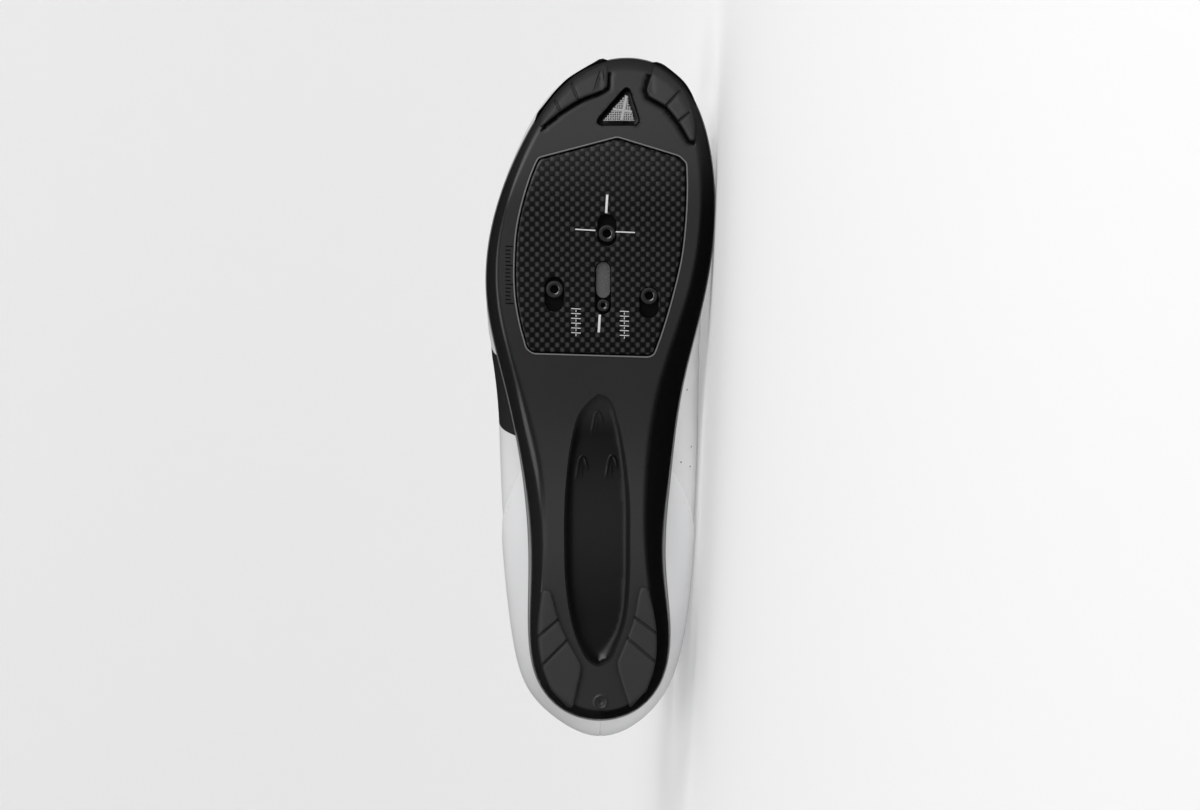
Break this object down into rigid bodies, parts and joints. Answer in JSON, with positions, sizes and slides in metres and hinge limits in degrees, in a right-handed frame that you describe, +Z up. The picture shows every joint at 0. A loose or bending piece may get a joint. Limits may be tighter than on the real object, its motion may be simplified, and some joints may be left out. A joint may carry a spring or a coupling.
{
  "type": "cycling shoe",
  "caption": "White road cycling shoe for the right foot with a glossy black moulded sole, woven carbon cleat plate and tread pads.",
  "frame": {"origin": "centre of the bounding box's bottom, on the floor that the shoe lies on", "axes": "+X from heel to toe, the sole faces -Y, +Z up from the shoe's medial side, on which it lies"},
  "size_m": [0.2766, 0.1148, 0.0906],
  "materials": {
    "sole_shell": "gloss",
    "carbon_weave": "gloss lacquer over weave",
    "pad_rubber": "matte",
    "insert_metal": "black oxide",
    "slot_cover_grey": "matte",
    "vent_grille": "matte",
    "upper_white": "satin, synthetic",
    "counter_white": "satin",
    "tongue_white": "matte",
    "insole_grey": "matte",
    "lace_white": "matte"
  },
  "bodies": {
    "root": {"outsole": "sole_shell", "carbon_plate": "carbon_weave", "toe_pad_lateral": "pad_rubber", "toe_pad_medial": "pad_rubber", "heel_pad_lateral": "pad_rubber", "heel_pad_medial": "pad_rubber", "insert_front": "insert_metal", "insert_rear_lateral": "insert_metal", "insert_rear_medial": "insert_metal", "insert_centre": "insert_metal", "slot_cover": "slot_cover_grey", "toe_vent_mesh": "vent_grille", "upper": "upper_white", "heel_counter": "counter_white", "tongue": "tongue_white", "insole": "insole_grey", "lace_bar_1": "lace_white", "lace_bar_2": "lace_white", "lace_bar_3": "lace_white", "lace_bar_4": "lace_white", "lace_bar_5": "lace_white", "lace_bar_6": "lace_white", "lace_bar_7": "lace_white"}
  },
  "joints": []
}
